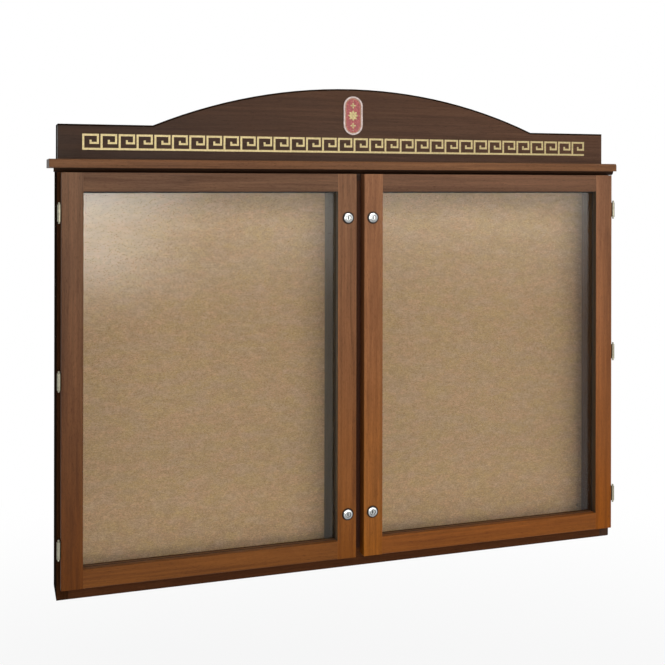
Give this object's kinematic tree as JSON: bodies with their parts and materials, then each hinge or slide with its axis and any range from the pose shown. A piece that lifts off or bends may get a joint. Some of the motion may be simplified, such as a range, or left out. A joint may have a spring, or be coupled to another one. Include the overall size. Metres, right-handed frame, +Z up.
{
  "type": "notice board",
  "caption": "Wall-mounted hardwood notice board with two glazed doors over felt pinboards, cam locks, a cornice and an arched header.",
  "frame": {"origin": "on the wall, at the centre of the four wall screw holes", "axes": "+X to the right along the wall seen from the front, -Y out of the wall towards the reader, +Z up"},
  "size_m": [1.469, 0.1361, 1.179],
  "materials": {
    "case_wood": "satin dark stained hardwood",
    "door_wood": "satin varnished hardwood",
    "cornice_wood": "satin varnished hardwood",
    "plywood": "stained plywood",
    "dowel_wood": "plain beech",
    "dark_capping": "dark sealed hardwood strip",
    "pinboard_felt": "matt fibrous felt on board",
    "clear_glass": "clear float glass",
    "glazing_rubber": "matt black",
    "hinge_steel": "satin nickel plated",
    "screw_steel": "bright zinc plated",
    "lock_chrome": "bright chrome plated",
    "lock_steel": "dull zinc alloy",
    "enamel": "glossy enamel with a gilt rim"
  },
  "bodies": {
    "case": {"case_side_left": "case_wood", "case_side_right": "case_wood", "case_top": "case_wood", "case_bottom": "case_wood", "back_panel": "plywood", "case_dowels": "dowel_wood", "post_sides": "plywood", "post_web": "plywood", "keeper_board": "case_wood", "keeper_screws": "screw_steel", "pinboard_left": "pinboard_felt", "pinboard_right": "pinboard_felt", "cornice": "cornice_wood", "cornice_moulding": "cornice_wood", "cornice_screws": "screw_steel", "header_panel": "case_wood", "header_ends": "case_wood", "header_cap": "dark_capping", "header_screws": "screw_steel", "plaque": "enamel", "case_leaves_left": "hinge_steel", "case_leaves_right": "hinge_steel", "hinge_pins": "hinge_steel", "case_leaf_screws": "screw_steel"},
    "left_door": {"left_hinge_stile": "door_wood", "left_lock_stile": "door_wood", "left_top_rail": "door_wood", "left_bottom_rail": "door_wood", "left_glass": "clear_glass", "left_seal": "glazing_rubber", "left_upright_beads": "door_wood", "left_cross_beads": "door_wood", "left_door_leaves": "hinge_steel", "left_leaf_screws": "screw_steel", "left_lock_bodies": "lock_chrome", "left_lock_nuts": "lock_steel"},
    "right_door": {"right_hinge_stile": "door_wood", "right_lock_stile": "door_wood", "right_top_rail": "door_wood", "right_bottom_rail": "door_wood", "right_glass": "clear_glass", "right_seal": "glazing_rubber", "right_upright_beads": "door_wood", "right_cross_beads": "door_wood", "right_door_leaves": "hinge_steel", "right_leaf_screws": "screw_steel", "right_lock_bodies": "lock_chrome", "right_lock_nuts": "lock_steel"},
    "left_upper_lock": {"left_upper_plug": "lock_steel", "left_upper_cam": "lock_steel", "left_upper_cam_screw": "screw_steel"},
    "left_lower_lock": {"left_lower_plug": "lock_steel", "left_lower_cam": "lock_steel", "left_lower_cam_screw": "screw_steel"},
    "right_upper_lock": {"right_upper_plug": "lock_steel", "right_upper_cam": "lock_steel", "right_upper_cam_screw": "screw_steel"},
    "right_lower_lock": {"right_lower_plug": "lock_steel", "right_lower_cam": "lock_steel", "right_lower_cam_screw": "screw_steel"}
  },
  "joints": [
    {"name": "left_door_swing", "type": "hinge", "parent": "case", "child": "left_door", "pos_m": [-0.7135, -0.13, 0.0015], "axis": [0, 0, -1], "range_deg": [0, 180]},
    {"name": "right_door_swing", "type": "hinge", "parent": "case", "child": "right_door", "pos_m": [0.7135, -0.13, 0.0015], "axis": [0, 0, 1], "range_deg": [0, 180]},
    {"name": "left_upper_lock_turn", "type": "hinge", "parent": "left_door", "child": "left_upper_lock", "pos_m": [-0.032, -0.132, 0.362], "axis": [0, -1, 0], "range_deg": [0, 90]},
    {"name": "left_lower_lock_turn", "type": "hinge", "parent": "left_door", "child": "left_lower_lock", "pos_m": [-0.032, -0.132, -0.359], "axis": [0, -1, 0], "range_deg": [0, 90]},
    {"name": "right_upper_lock_turn", "type": "hinge", "parent": "right_door", "child": "right_upper_lock", "pos_m": [0.032, -0.132, 0.362], "axis": [0, 1, 0], "range_deg": [0, 90]},
    {"name": "right_lower_lock_turn", "type": "hinge", "parent": "right_door", "child": "right_lower_lock", "pos_m": [0.032, -0.132, -0.359], "axis": [0, 1, 0], "range_deg": [0, 90]}
  ]
}
